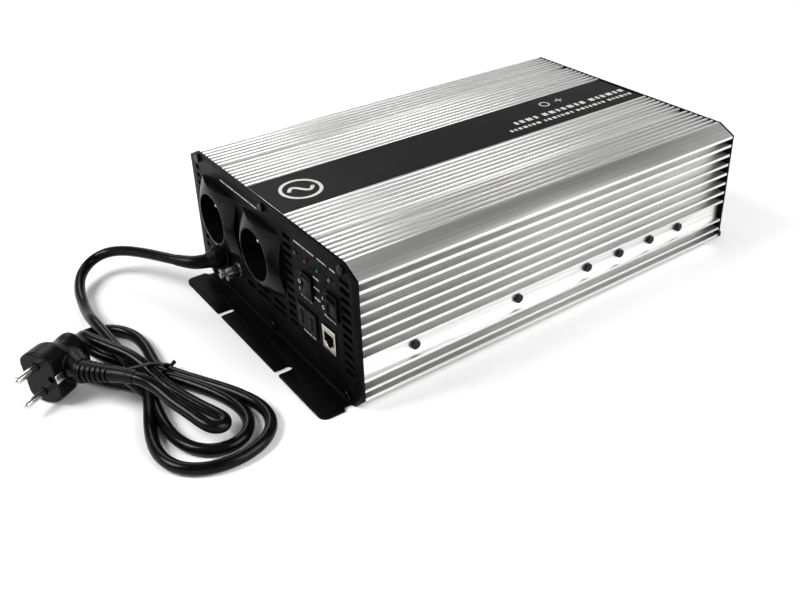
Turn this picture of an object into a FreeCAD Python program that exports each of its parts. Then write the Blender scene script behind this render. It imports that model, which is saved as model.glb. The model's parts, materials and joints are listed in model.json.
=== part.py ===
"""Power inverter with two AC sockets, a mains lead and a finned aluminium housing.

The origin is the middle of the housing's footprint on the surface it stands on.
+X is to the right seen from the socket panel, the socket panel faces -Y, +Z is up. Millimetres.
"""
import FreeCAD, Part
import math
import os
import re
import Sketcher
from FreeCAD import Placement, Rotation, Vector

os.makedirs("parts", exist_ok=True)
doc = FreeCAD.newDocument("power_inverter")

SIZES = {
    # how far a cutting tool runs past the piece that it cuts
    "overrun": 1,
    # screws
    "screw_shank": 1.5,
    "side_screw_head": 3.4,
    "panel_screw_head": 3.3,
    "screw_head_high": 2.2,
    "side_screw_deep": 4,
    # housing
    "half_width": 120,
    "top_level": 110,
    "half_length": 178,
    "panel_sheet": 2,
    "flange_reach": 24,
    "flange_half": 108,
    "flange_corner": 6,
    "bend_relief": 4,
    "bend_radius": 1.6,
    "top_cut_x": 14,
    "top_cut_z": 7,
    "foot_cut": 12,
    "mount_slot_x": 45.5,
    "mount_slot_deep": 12,
    "mount_slot_half": 3.25,
    "base_sheet": 2,
    # extrusions
    "seam_x": 68.5,
    "seam_gap": 0.5,
    "ledge_x": 62,
    "leg_under": 102,
    "ledge_top": 104.4,
    "rib_floor": 107.8,
    "rib_first": 72,
    "rib_pitch": 5.2,
    "rib_wide": 2.6,
    "cover_rib_first": 27.2,
    "cover_rib_pitch": 5.25,
    "cover_flat": 109,
    "label_half": 26,
    "label_thick": 0.6,
    "label_inset": 1.2,
    "label_gap": 0.4,
    "wall_in": 108,
    "fin_root": 112,
    "fin_half": 1.1,
    "fin_first": 94.6,
    "fin_pitch": 8.28,
    "band_x": 116,
    "band_top": 45,
    "band_foot": 27.8,
    "low_fin": 19.7,
    "foot_in": 104,
    "foot_top": 4.5,
    # mains sockets
    "socket_left_x": -74,
    "socket_right_x": -5.5,
    "socket_z": 67,
    "bezel_half_x": 30,
    "bezel_half_z": 25,
    "bezel_proud": 8,
    "ring_radius": 21.7,
    "bezel_cone": 37,
    "recess_radius": 19.75,
    "recess_deep": 16,
    "socket_body_radius": 22,
    "socket_body_deep": 28,
    "pin_spacing_half": 9.5,
    "pin_hole": 2.7,
    "sleeve_radius": 3.6,
    "sleeve_bore": 2.45,
    "earth_pin_up": 10,
    "earth_pin_radius": 2.4,
    "earth_pin_out": 6,
    "earth_pin_nose": 2,
    "earth_pin_tip": 1,
    "earth_pin_root": 8,
    "floor_thick": 1,
    "sleeve_end_deep": 15,
    # rocker switches
    "switch_left_x": 58,
    "switch_right_x": 90,
    "switch_z": 70,
    "switch_half_x": 6.75,
    "switch_half_z": 9.25,
    "switch_proud": 2,
    "switch_deep": 18,
    "switch_lip": 0.75,
    "well_deep": 9,
    "well_half_x": 5.25,
    "well_half_z": 7.85,
    "paddle_half_x": 4.9,
    "paddle_half_z": 6.9,
    "paddle_end": 3.6,
    "paddle_waist": 2,
    "paddle_back": 5,
    "paddle_back_half": 3.9,
    "pivot_in": 1,
    "switch_tilt": 10,
    # indicator lights
    "light_z": 89,
    "light_radius": 1.6,
    "light_proud": 0.6,
    "light_dome": 0.8,
    "light_dome_step": 0.9,
    "light_deep": 8,
    # vents in the end panels
    "vent_first": 96,
    "vent_pitch": 6.9,
    "vent_half": 1.75,
    # data ports
    "usb_proud": 1.5,
    "usb_deep": 18,
    "usb_lip": 1,
    "port_half_x": 3.2,
    "port_half_z": 6.9,
    "port_deep": 14,
    "port_skin": 0.5,
    "tongue_near": 0.4,
    "tongue_far": 2.4,
    "tongue_half_z": 5.6,
    "tongue_in": 0.5,
    "usb_x": 54.5,
    "usb_z": 41,
    "usb_half_x": 12.5,
    "usb_half_z": 9,
    "usb_pitch_half": 6.4,
    "jack_x": 82.6,
    "jack_z": 40.5,
    "jack_half_x": 8.2,
    "jack_half_z": 9,
    "jack_proud": 1.2,
    "jack_deep": 18,
    "jack_mouth_half": 6,
    "jack_mouth_top": 4.5,
    "jack_mouth_foot": 3.5,
    "jack_mouth_deep": 13,
    "jack_key_half": 3.2,
    "jack_key_foot": 5,
    "jack_latch_half": 1.8,
    "jack_latch_foot": 6.4,
    "contact_first": 4.6,
    "contact_pitch": 1.27,
    "contact_wide": 0.4,
    "contact_high": 0.9,
    "contact_in": 3,
    # cord entry and earth terminal
    "gland_x": -76,
    "gland_z": 32,
    "cord_radius": 4.1,
    "gland_bore": 4.2,
    "gland_thread": 7,
    "gland_flange": 9.5,
    "gland_nut": 8.5,
    "gland_in": 12,
    "gland_flange_out": 3,
    "gland_nut_out": 11,
    "gland_nose_out": 18,
    "gland_nose_wall": 1,
    "earth_x": -53.5,
    "earth_z": 29,
    "earth_stud": 2.5,
    "earth_stud_out": 16,
    "earth_stud_in": 10,
    "earth_washer": 6.1,
    "earth_washer_out": 1,
    "earth_nut": 4.7,
    "earth_nut_out": 5,
    "wing_back_out": 6,
    "wing_start_out": 7,
    "wing_hub_out": 11,
    "wing_tip_out": 13.5,
    "wing_hub": 4.9,
    "wing_hub_nose": 3.7,
    "wing_notch": 4,
    "wing_reach": 9.5,
    "wing_half": 0.9,
    # rear panel
    "fan_x": 70,
    "fan_z": 55,
    "fan_half": 35,
    "fan_thick": 20,
    "fan_bore": 33,
    "fan_gap": 1,
    "hub_radius": 13,
    "blade_tip": 31.5,
    "blade_thick": 1.6,
    "blade_deep": 16,
    "blade_root": 2,
    "blade_pitch": 50,
    "strut_half": 1.5,
    "strut_thick": 2.5,
    "strut_bite": 0.5,
    "guard_wire": 1.8,
    "guard_reach": 43,
    "terminal_x": 17,
    "terminal_z": 50,
    "terminal_radius": 12,
    "terminal_stud": 4,
    "terminal_shank": 4.3,
    "terminal_base_out": 6,
    "terminal_nut_out": 12,
    "terminal_tip_out": 22,
    "terminal_in": 12,
    "terminal_bore_in": 4,
    "terminal_hex": 7.5,
    # electronics
    "post_radius": 3,
    "post_x": 90,
    "post_y": 120,
    "board_half_x": 98,
    "board_half_y": 130,
    "board_under": 8,
    "board_top": 9.6,
    "core_half_x": 24,
    "core_half_y": 22,
    "core_pitch": 58,
    "core_top": 50,
    "can_radius": 11,
    "can_x": 70,
    "can_top": 55,
    "choke_ring": 17,
    "choke_thick": 8,
    # plug on the cord
    "plug_x": -22.4,
    "plug_y": -339.1,
    "plug_up": 19.9,
    "plug_turn": 32.8,
    "plug_rise": 8.8,
    "plug_roll": -1.8,
    "plug_radius": 19.5,
    "plug_flat": 14.5,
    "plug_rim": 13,
    "plug_back_radius": 13.5,
    "plug_deep": 30,
    "plug_arm": 9,
    "plug_pin": 2.4,
    "plug_pin_long": 19,
    "plug_pin_root": 5,
    "plug_pin_tip": 1.5,
    "plug_hole_x": 10,
    "plug_hole": 2.6,
    "plug_hole_deep": 12,
    "clip_sunk": 1.2,
    "clip_thick": 0.8,
    "clip_long": 9,
    "clip_half": 3,
    "sleeve_wide": 7.5,
    "sleeve_thin": 5,
    "sleeve_start": 26,
    "sleeve_end": 51.4,
    # bundle of cord
    "bundle_top": 26,
    "bundle_waist_half": 17,
    "tie_half": 19,
    "tie_turn": 35,
    "strap_half": 2,
    "strap_thick": 1.5,
}

sheet = doc.addObject("Spreadsheet::Sheet", "Sizes")
for row, (alias, value) in enumerate(SIZES.items(), 1):
    sheet.set(f"A{row}", alias)
    sheet.set(f"B{row}", str(value))
    sheet.setAlias(f"B{row}", alias)
doc.recompute()

# Turns that lay a piece built along +Z onto another axis.
TURN = {
    "x": Rotation(Vector(0, 1, 0), 90),
    "y": Rotation(Vector(1, 0, 0), -90),
    "z": Rotation(),
}
FRONT = "-half_length"
FRONT_IN = "-half_length + panel_sheet"
REAR = "half_length"
REAR_IN = "half_length - panel_sheet"
nodes = []


def bound(text):
    """An expression on the sheet's cells, from one on their aliases."""
    return re.sub(r"[a-z_]+", lambda word: f"Sizes.{word[0]}" if word[0] in SIZES else word[0], str(text))


def node(piece, label):
    """Names a finished sub-part and keeps it for the export."""
    piece.Label = label
    nodes.append(piece)
    return piece


def box(name, x, y, z):
    """A block between two limits on each axis."""
    piece = doc.addObject("Part::Box", name)
    for axis, size, (low, high) in zip("xyz", ("Length", "Width", "Height"), (x, y, z)):
        piece.setExpression(size, bound(f"({high}) - ({low})"))
        piece.setExpression(f"Placement.Base.{axis}", bound(low))
    return piece


def place(piece, axis, along, across):
    """Stands a round piece on its axis: along is its start, across its two other coordinates."""
    piece.Placement = Placement(Vector(), TURN[axis])
    others = [letter for letter in "xyz" if letter != axis]
    piece.setExpression(f"Placement.Base.{axis}", bound(along))
    for letter, value in zip(others, across):
        piece.setExpression(f"Placement.Base.{letter}", bound(value))


def rod(name, axis, across, radius, low, high):
    """A cylinder along an axis, between two limits."""
    piece = doc.addObject("Part::Cylinder", name)
    piece.setExpression("Radius", bound(radius))
    piece.setExpression("Height", bound(f"({high}) - ({low})"))
    place(piece, axis, low, across)
    return piece


def taper(name, axis, across, radii, low, high):
    """A cone along an axis, with its radius at each limit."""
    piece = doc.addObject("Part::Cone", name)
    piece.setExpression("Radius1", bound(radii[0]))
    piece.setExpression("Radius2", bound(radii[1]))
    piece.setExpression("Height", bound(f"({high}) - ({low})"))
    place(piece, axis, low, across)
    return piece


def hexagon(name, axis, across, radius, low, high):
    """A six-sided prism along an axis, sized by its corners."""
    piece = doc.addObject("Part::Prism", name)
    piece.Polygon = 6
    piece.setExpression("Circumradius", bound(radius))
    piece.setExpression("Height", bound(f"({high}) - ({low})"))
    place(piece, axis, low, across)
    return piece


def fuse(name, pieces):
    if len(pieces) == 1:
        return pieces[0]
    joined = doc.addObject("Part::MultiFuse", name)
    joined.Shapes = pieces
    return joined


def cut(name, base, tools):
    result = doc.addObject("Part::Cut", name)
    result.Base = base
    result.Tool = fuse(f"{name}_tools", tools)
    return result


def common(name, first, second):
    result = doc.addObject("Part::Common", name)
    result.Base = first
    result.Tool = second
    return result


def group(name, pieces):
    """Several equal pieces that share one node."""
    result = doc.addObject("Part::Compound", name)
    result.Links = pieces
    return result


def prism(name, plane, corners, low, high):
    """A padded sketch. corners are pairs of expressions on the plane; low and high are its ends."""
    body = doc.addObject("PartDesign::Body", name)
    sketch = body.newObject("Sketcher::SketchObject", f"{name}_outline")
    origin = [item for item in body.Origin.OriginFeatures if item.Role == f"{plane}_Plane"]
    sketch.AttachmentSupport = [(origin[0], "")]
    sketch.MapMode = "FlatFace"
    values = [[float(sheet.evalExpression(bound(part))) for part in corner] for corner in corners]
    points = [Vector(first, second, 0) for first, second in values]
    for index, point in enumerate(points):
        following = points[(index + 1) % len(points)]
        sketch.addGeometry(Part.LineSegment(point, following), False)
    for index, corner in enumerate(corners):
        before = (index - 1) % len(corners)
        sketch.addConstraint(Sketcher.Constraint("Coincident", before, 2, index, 1))
        for kind, expression, value in zip(("DistanceX", "DistanceY"), corner, values[index]):
            number = sketch.addConstraint(Sketcher.Constraint(kind, -1, 1, index, 1, value))
            sketch.setExpression(f"Constraints[{number}]", bound(expression))
    pad = body.newObject("PartDesign::Pad", f"{name}_pad")
    pad.Profile = sketch
    pad.setExpression("Length", bound(f"({high}) - ({low})"))
    if plane == "XZ":
        # This plane's normal is -Y, so the sketch stands at the far end and the pad grows back.
        sketch.setExpression("AttachmentOffset.Base.z", bound(f"-({high})"))
    else:
        sketch.setExpression("AttachmentOffset.Base.z", bound(low))
    sketch.Visibility = False
    return body


def side_corners(sign):
    """Section of a side extrusion: a ribbed top leg, a chamfer and a wall with deep fins."""
    corners = [
        ("ledge_x", "leg_under"),
        ("ledge_x", "ledge_top"),
        ("seam_x + seam_gap", "ledge_top"),
        ("seam_x + seam_gap", "rib_floor"),
    ]
    for count in range(6):
        left = f"rib_first + {count} * rib_pitch"
        corners += [
            (left, "rib_floor"),
            (left, "top_level"),
            (f"{left} + rib_wide", "top_level"),
            (f"{left} + rib_wide", "rib_floor"),
        ]
    corners += [
        ("rib_first + 6 * rib_pitch", "rib_floor"),
        ("rib_first + 6 * rib_pitch", "top_level"),
        ("half_width - top_cut_x", "top_level"),
        ("half_width", "top_level - top_cut_z"),
        ("half_width", "top_level - top_cut_z - 2 * fin_half"),
        ("fin_root", "top_level - top_cut_z - 2 * fin_half"),
    ]
    for count in range(6):
        level = f"fin_first - {count} * fin_pitch"
        corners += fin_corners(level, "fin_root")
    corners += [
        ("fin_root", "band_top + fin_half"),
        ("half_width", "band_top + fin_half"),
        ("half_width", "band_top - fin_half"),
        ("band_x", "band_top - fin_half"),
        ("band_x", "band_foot + fin_half"),
        ("half_width", "band_foot + fin_half"),
        ("half_width", "band_foot - fin_half"),
        ("fin_root", "band_foot - fin_half"),
    ]
    corners += fin_corners("low_fin", "fin_root")
    corners += [
        ("fin_root", "foot_cut + 2 * fin_half"),
        ("half_width", "foot_cut + 2 * fin_half"),
        ("half_width", "foot_cut"),
        ("half_width - foot_cut + base_sheet", "base_sheet"),
        ("foot_in", "base_sheet"),
        ("foot_in", "foot_top"),
        ("wall_in", "foot_top"),
        ("wall_in", "leg_under"),
    ]
    return [(f"{sign} * ({across})", level) for across, level in corners]


def fin_corners(level, root):
    """The four corners of one fin, from its top."""
    return [
        (root, f"{level} + fin_half"),
        ("half_width", f"{level} + fin_half"),
        ("half_width", f"{level} - fin_half"),
        (root, f"{level} - fin_half"),
    ]


def housing():
    """Two finned side extrusions, a ribbed top cover, a base plate and the top label."""
    for side, sign in (("left", -1), ("right", 1)):
        extrusion = prism(f"extrusion_{side}", "XZ", side_corners(sign), FRONT_IN, REAR_IN)
        holes = [
            rod(f"screw_hole_{side}", "x", (along, SCREW_LEVEL), "screw_shank",
                *side_span(sign, "-side_screw_deep", 0))
            for along in SIDE_SCREWS
        ]
        node(cut(f"side_{side}", extrusion, holes), f"{side}_side_extrusion")
    right = [("label_half + label_gap", "cover_flat"), ("label_half + label_gap", "rib_floor")]
    for count in range(8):
        start = f"cover_rib_first + {count} * cover_rib_pitch"
        right += [
            (start, "rib_floor"),
            (start, "top_level"),
            (f"{start} + rib_wide", "top_level"),
            (f"{start} + rib_wide", "rib_floor"),
        ]
    right += [("seam_x - seam_gap", "rib_floor"), ("seam_x - seam_gap", "ledge_top")]
    left = [(f"-({across})", level) for across, level in reversed(right)]
    node(prism("cover", "XZ", left + right, FRONT_IN, REAR_IN), "top_cover")
    label = box("label", ("-label_half", "label_half"),
                (f"{FRONT_IN} + label_inset", f"{REAR_IN} - label_inset"),
                ("cover_flat", "cover_flat + label_thick"))
    node(label, "top_label")
    base = box("base", ("-flange_half", "flange_half"), (FRONT_IN, REAR_IN), (0, "base_sheet"))
    node(base, "base_plate")


SCREW_LEVEL = "(band_top + band_foot) / 2"
SIDE_SCREWS = (-133.5, -43.5, 25, 59, 93, 126)
PANEL_SCREWS = (
    ("-104", "105"), ("0", "105"), ("104", "105"),
    ("-102", "7"), ("0", "7"), ("102", "7"),
)


def side_span(sign, inner, outer):
    """Two X limits beside the screw band, in rising order on either side."""
    ends = [f"{sign} * (band_x + {inner})", f"{sign} * (band_x + {outer})"]
    return ends if sign > 0 else ends[::-1]


def screws():
    """Pan-head screws: six on each side band, six on each end panel."""
    for side, sign in (("left", -1), ("right", 1)):
        pieces = []
        for along in SIDE_SCREWS:
            centre = (along, SCREW_LEVEL)
            head = rod("side_head", "x", centre, "side_screw_head", *side_span(sign, 0, "screw_head_high"))
            shank = rod("side_shank", "x", centre, "screw_shank", *side_span(sign, "-side_screw_deep", 0))
            pieces.append(fuse("side_screw", [head, shank]))
        node(group(f"screws_{side}", pieces), f"{side}_side_screws")
    for end, face, inside, sign in (("front", FRONT, FRONT_IN, -1), ("rear", REAR, REAR_IN, 1)):
        pieces = []
        for across in PANEL_SCREWS:
            outer = f"{face} + {sign} * screw_head_high"
            low, high = (outer, face) if sign < 0 else (face, outer)
            head = rod("panel_head", "y", across, "panel_screw_head", low, high)
            low, high = (face, inside) if sign < 0 else (inside, face)
            shank = rod("panel_shank", "y", across, "screw_shank", low, high)
            pieces.append(fuse("panel_screw", [head, shank]))
        node(group(f"screws_{end}", pieces), f"{end}_panel_screws")


def panel_blank(end, sign):
    """A sheet panel with cut corners and a foot flange with two open mounting slots."""
    outline = [
        ("-(half_width - foot_cut)", "0"),
        ("half_width - foot_cut", "0"),
        ("half_width", "foot_cut"),
        ("half_width", "top_level - top_cut_z"),
        ("half_width - top_cut_x", "top_level"),
        ("-(half_width - top_cut_x)", "top_level"),
        ("-half_width", "top_level - top_cut_z"),
        ("-half_width", "foot_cut"),
    ]
    low, high = (FRONT, FRONT_IN) if sign < 0 else (REAR_IN, REAR)
    sheet_piece = prism(f"{end}_sheet", "XZ", outline, low, high)
    face = f"{sign} * half_length"
    tip = f"{sign} * (half_length + flange_reach)"
    span = (tip, face) if sign < 0 else (face, tip)
    corner_y = f"{sign} * (half_length + flange_reach - flange_corner)"
    inner_span = (corner_y, face) if sign < 0 else (face, corner_y)
    flange = [
        box(f"{end}_flange", ("-flange_half", "flange_half"), inner_span, (0, "panel_sheet")),
        box(f"{end}_flange_tip", ("-flange_half + flange_corner", "flange_half - flange_corner"), span,
            (0, "panel_sheet")),
    ]
    for corner_x in ("-flange_half + flange_corner", "flange_half - flange_corner"):
        flange.append(rod(f"{end}_flange_corner", "z", (corner_x, corner_y), "flange_corner",
                          0, "panel_sheet"))
    # The inside of the bend: a bar with its outer quarter cut away by a cylinder.
    away = f"{sign} * (half_length + bend_radius)"
    bar_span = (away, face) if sign < 0 else (face, away)
    bar = box(f"{end}_bend_bar", ("-flange_half", "flange_half"), bar_span,
              ("panel_sheet", "panel_sheet + bend_radius"))
    hollow = rod(f"{end}_bend_hollow", "x", (away, "panel_sheet + bend_radius"), "bend_radius",
                 "-flange_half - overrun", "flange_half + overrun")
    flange.append(cut(f"{end}_bend", bar, [hollow]))
    tools = []
    relief_y = f"{sign} * (half_length + bend_relief - overrun)"
    for place_x in ("-flange_half", "flange_half"):
        tools.append(rod(f"{end}_relief", "z", (place_x, relief_y), "bend_relief", "-overrun", "bend_relief"))
    for place_x in ("-mount_slot_x", "mount_slot_x"):
        inner = f"{sign} * (half_length + flange_reach - mount_slot_deep + mount_slot_half)"
        mouth = f"{sign} * (half_length + flange_reach + overrun)"
        along = (mouth, inner) if sign < 0 else (inner, mouth)
        wide = (f"{place_x} - mount_slot_half", f"{place_x} + mount_slot_half")
        tools.append(box(f"{end}_slot", wide, along, ("-overrun", "panel_sheet + overrun")))
        tools.append(rod(f"{end}_slot_end", "z", (place_x, inner), "mount_slot_half", "-overrun",
                         "panel_sheet + overrun"))
    for across in PANEL_SCREWS:
        tools.append(rod(f"{end}_screw_hole", "y", across, "screw_shank", f"{low} - overrun",
                         f"{high} + overrun"))
    return fuse(f"{end}_blank", [sheet_piece, *flange]), tools


def slots(name, x_limits, levels, y_limits):
    """A stack of ventilation slots."""
    return [
        box(name, x_limits, y_limits, (f"{level} - vent_half", f"{level} + vent_half"))
        for level in levels
    ]


VENT_COLUMNS = ((100.5, 111.5), (27, 37.5), (-111.5, -105.5))
LOW_VENTS = (((-40, -28), 25.5), ((-22, -4), 25.5), ((3, 21), 25.5), ((-22, -4), 32.25), ((3, 21), 32.25))
REAR_VENTS = (80, 87, 94)
REAR_VENT_SPAN = (-24, 24)


def switch_box(name, place_x, low, high):
    """The block that a switch's case fills, between two limits of Y."""
    return box(
        name,
        (f"{place_x} - switch_half_x + switch_lip", f"{place_x} + switch_half_x - switch_lip"),
        (low, high),
        ("switch_z - switch_half_z + switch_lip", "switch_z + switch_half_z - switch_lip"),
    )


def front_panel():
    """Socket panel, with its openings and vents."""
    blank, tools = panel_blank("front", -1)
    through = ("-half_length - overrun", "-half_length + panel_sheet + overrun")
    for place_x in ("socket_left_x", "socket_right_x"):
        tools.append(rod("socket_hole", "y", (place_x, "socket_z"), "socket_body_radius", *through))
    for place_x in ("switch_left_x", "switch_right_x"):
        tools.append(switch_box("switch_hole", place_x, *through))
    for place_x in LIGHTS:
        tools.append(rod("light_hole", "y", (place_x, "light_z"), "light_radius", *through))
    tools.append(box("usb_hole", ("usb_x - usb_half_x + usb_lip", "usb_x + usb_half_x - usb_lip"), through,
                     ("usb_z - usb_half_z + usb_lip", "usb_z + usb_half_z - usb_lip")))
    tools.append(box("jack_hole", ("jack_x - jack_half_x", "jack_x + jack_half_x"), through,
                     ("jack_z - jack_half_z", "jack_z + jack_half_z")))
    tools.append(rod("gland_hole", "y", ("gland_x", "gland_z"), "gland_thread", *through))
    tools.append(rod("earth_hole", "y", ("earth_x", "earth_z"), "earth_stud", *through))
    column = [f"vent_first - {count} * vent_pitch" for count in range(11)]
    for limits in VENT_COLUMNS:
        tools += slots("vent_column", limits, column, through)
    for limits, level in LOW_VENTS:
        tools += slots("vent_low", limits, (level,), through)
    node(cut("panel_front", blank, tools), "front_panel")


def rear_panel():
    """Fan and battery terminal panel."""
    blank, tools = panel_blank("rear", 1)
    through = ("half_length - panel_sheet - overrun", "half_length + overrun")
    for sign in (-1, 1):
        tools.append(rod("fan_hole", "y", (f"{sign} * fan_x", "fan_z"), "fan_bore", *through))
        across = (f"{sign} * terminal_x", "terminal_z")
        tools.append(rod("terminal_hole", "y", across, "terminal_shank", *through))
    tools += slots("vent_rear", REAR_VENT_SPAN, REAR_VENTS, through)
    node(cut("panel_rear", blank, tools), "rear_panel")


LIGHTS = ("44", "58", "73.7", "88")


def mains_socket(side):
    """Socket with a round recess, two pin sleeves and a standing earth pin."""
    place_x = f"socket_{side}_x"
    centre = (place_x, "socket_z")
    out = "-half_length - bezel_proud"
    floor = f"{out} + recess_deep"
    back = "-half_length + socket_body_deep"
    block = box("bezel_block", (f"{place_x} - bezel_half_x", f"{place_x} + bezel_half_x"), (out, FRONT),
                ("socket_z - bezel_half_z", "socket_z + bezel_half_z"))
    slope = taper("bezel_slope", "y", centre, ("ring_radius", "bezel_cone"), out, FRONT)
    bezel = common("bezel", block, slope)
    body = rod("socket_body", "y", centre, "socket_body_radius", FRONT, back)
    tools = [rod("recess", "y", centre, "recess_radius", f"{out} - overrun", floor)]
    sleeves = []
    for sign in (-1, 1):
        across = (f"{place_x} + {sign} * pin_spacing_half", "socket_z")
        tools.append(rod("pin_hole", "y", across, "pin_hole", floor, f"{floor} + floor_thick"))
        depth = (f"{floor} + floor_thick", f"{floor} + sleeve_end_deep")
        tools.append(rod("sleeve_seat", "y", across, "sleeve_radius", *depth))
        sleeve = rod("sleeve", "y", across, "sleeve_radius", *depth)
        bore = rod("sleeve_eye", "y", across, "sleeve_bore", *depth)
        sleeves.append(cut("sleeve_tube", sleeve, [bore]))
    across = (place_x, "socket_z + earth_pin_up")
    tip = f"{out} + earth_pin_out - earth_pin_nose"
    tools.append(rod("earth_seat", "y", across, "earth_pin_radius", floor, f"{floor} + earth_pin_root"))
    neck = f"{tip} + earth_pin_nose"
    shaft = rod("earth_shaft", "y", across, "earth_pin_radius", neck, f"{floor} + earth_pin_root")
    nose = taper("earth_nose", "y", across, ("earth_pin_tip", "earth_pin_radius"), tip, neck)
    shell = fuse("socket_solid", [bezel, body])
    node(cut(f"socket_{side}", shell, tools), f"ac_socket_{side}")
    node(fuse(f"earth_pin_{side}", [shaft, nose]), f"ac_socket_{side}_earth_pin")
    return sleeves


def rocker_switch(side, tilt):
    """A rocker in its frame. tilt is the paddle's angle at rest."""
    place_x = f"switch_{side}_x"
    pivot = "-half_length + pivot_in"
    out = "-half_length - switch_proud"
    lip = box("switch_lip", (f"{place_x} - switch_half_x", f"{place_x} + switch_half_x"), (out, FRONT),
              ("switch_z - switch_half_z", "switch_z + switch_half_z"))
    case = switch_box("switch_case", place_x, FRONT, "-half_length + switch_deep")
    well = box("switch_well", (f"{place_x} - well_half_x", f"{place_x} + well_half_x"),
               (f"{out} - overrun", "-half_length + well_deep"),
               ("switch_z - well_half_z", "switch_z + well_half_z"))
    node(cut(f"frame_{side}", fuse("switch_solid", [lip, case]), [well]), f"switch_{side}_frame")
    # Profile about the pivot: the two ends stand proud, the waist is lower, the back is narrow.
    profile = (
        ("-paddle_end", "paddle_half_z"),
        ("-paddle_waist", "0"),
        ("-paddle_end", "-paddle_half_z"),
        ("paddle_back", "-paddle_back_half"),
        ("paddle_back", "paddle_back_half"),
    )
    wide = (f"{place_x} - paddle_half_x", f"{place_x} + paddle_half_x")
    paddle = prism(f"paddle_{side}", "YZ", profile, *wide)
    paddle.Placement = Placement(Vector(), Rotation(Vector(1, 0, 0), tilt))
    paddle.setExpression("Placement.Base.y", bound(pivot))
    paddle.setExpression("Placement.Base.z", bound("switch_z"))
    node(paddle, f"switch_{side}_paddle")


def lights():
    """Four round lenses in the panel."""
    for number, place_x in enumerate(LIGHTS, 1):
        across = (place_x, "light_z")
        barrel = rod("lens_barrel", "y", across, "light_radius", "-half_length - light_proud",
                     "-half_length + light_deep")
        dome = taper("lens_dome", "y", across, ("light_radius - light_dome_step", "light_radius"),
                     "-half_length - light_proud - light_dome", "-half_length - light_proud")
        node(fuse(f"lens_{number}", [barrel, dome]), f"status_light_{number}")


def usb_ports():
    """Two upright USB ports in one plastic module."""
    face = box("usb_face", ("usb_x - usb_half_x", "usb_x + usb_half_x"), ("-half_length - usb_proud", FRONT),
               ("usb_z - usb_half_z", "usb_z + usb_half_z"))
    body = box("usb_body", ("usb_x - usb_half_x + usb_lip", "usb_x + usb_half_x - usb_lip"),
               (FRONT, "-half_length + usb_deep"),
               ("usb_z - usb_half_z + usb_lip", "usb_z + usb_half_z - usb_lip"))
    tall = ("usb_z - port_half_z", "usb_z + port_half_z")
    inside = ("usb_z - port_half_z + port_skin", "usb_z + port_half_z - port_skin")
    mouth = "-half_length - usb_proud - overrun"
    wells = []
    shells = []
    tongues = []
    for sign in (-1, 1):
        middle = f"usb_x + {sign} * usb_pitch_half"
        outer = (f"{middle} - port_half_x", f"{middle} + port_half_x")
        inner = (f"{middle} - port_half_x + port_skin", f"{middle} + port_half_x - port_skin")
        wells.append(box("usb_well", outer, (mouth, "-half_length + port_deep"), tall))
        skin = box("usb_skin", outer, ("-half_length - usb_proud", "-half_length + port_deep"), tall)
        hollow = box("usb_hollow", inner, (mouth, "-half_length + port_deep - port_skin"), inside)
        shells.append(cut("usb_shell", skin, [hollow]))
        tongues.append(box("usb_tongue", (f"{middle} - tongue_far", f"{middle} - tongue_near"),
                           ("-half_length + tongue_in", "-half_length + port_deep - port_skin"),
                           ("usb_z - tongue_half_z", "usb_z + tongue_half_z")))
    node(cut("usb_module_solid", fuse("usb_solid", [face, body]), wells), "usb_module")
    node(group("usb_skins", shells), "usb_shells")
    node(group("usb_tongue_pair", tongues), "usb_tongues")


def network_jack():
    """Remote-control jack: a shielded shell with a keyed mouth and eight contacts."""
    shell = box("jack_shell", ("jack_x - jack_half_x", "jack_x + jack_half_x"),
                ("-half_length - jack_proud", "-half_length + jack_deep"),
                ("jack_z - jack_half_z", "jack_z + jack_half_z"))
    deep = ("-half_length - jack_proud - overrun", "-half_length + jack_mouth_deep")
    steps = (
        ("jack_mouth", "jack_mouth_half", "-jack_mouth_foot", "jack_mouth_top"),
        ("jack_key", "jack_key_half", "-jack_key_foot", "-jack_mouth_foot"),
        ("jack_latch", "jack_latch_half", "-jack_latch_foot", "-jack_key_foot"),
    )
    tools = [
        box(name, (f"jack_x - {half}", f"jack_x + {half}"), deep, (f"jack_z + {foot}", f"jack_z + {top}"))
        for name, half, foot, top in steps
    ]
    node(cut("jack", shell, tools), "network_jack")
    wires = []
    for count in range(8):
        left = f"jack_x - contact_first + {count} * contact_pitch"
        wires.append(box("jack_wire", (left, f"{left} + contact_wide"),
                         ("-half_length + contact_in", "-half_length + jack_mouth_deep"),
                         ("jack_z + jack_mouth_top - contact_high", "jack_z + jack_mouth_top")))
    node(group("jack_wires", wires), "network_jack_contacts")


def cord_entry():
    """Cord gland with a clamping nut and a tapered nose."""
    across = ("gland_x", "gland_z")
    flange_face = "-half_length - gland_flange_out"
    nut_face = "-half_length - gland_nut_out"
    inside = "-half_length + gland_in"
    thread = rod("gland_thread", "y", across, "gland_thread", FRONT, inside)
    flange = rod("gland_flange", "y", across, "gland_flange", flange_face, FRONT)
    bore = rod("gland_bore", "y", across, "gland_bore", f"{flange_face} - overrun", inside)
    node(cut("gland", fuse("gland_solid", [thread, flange]), [bore]), "cord_gland")
    hex_part = hexagon("gland_hex", "y", across, "gland_nut", nut_face, flange_face)
    radii = ("gland_bore + gland_nose_wall", "gland_nut - gland_nose_wall")
    nose = taper("gland_nose", "y", across, radii, "-half_length - gland_nose_out", nut_face)
    nose_end = "-half_length - gland_nose_out - overrun"
    nut_bore = rod("nut_bore", "y", across, "gland_bore", nose_end, flange_face)
    node(cut("gland_cap", fuse("gland_cap_solid", [hex_part, nose]), [nut_bore]), "cord_gland_nut")


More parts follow.
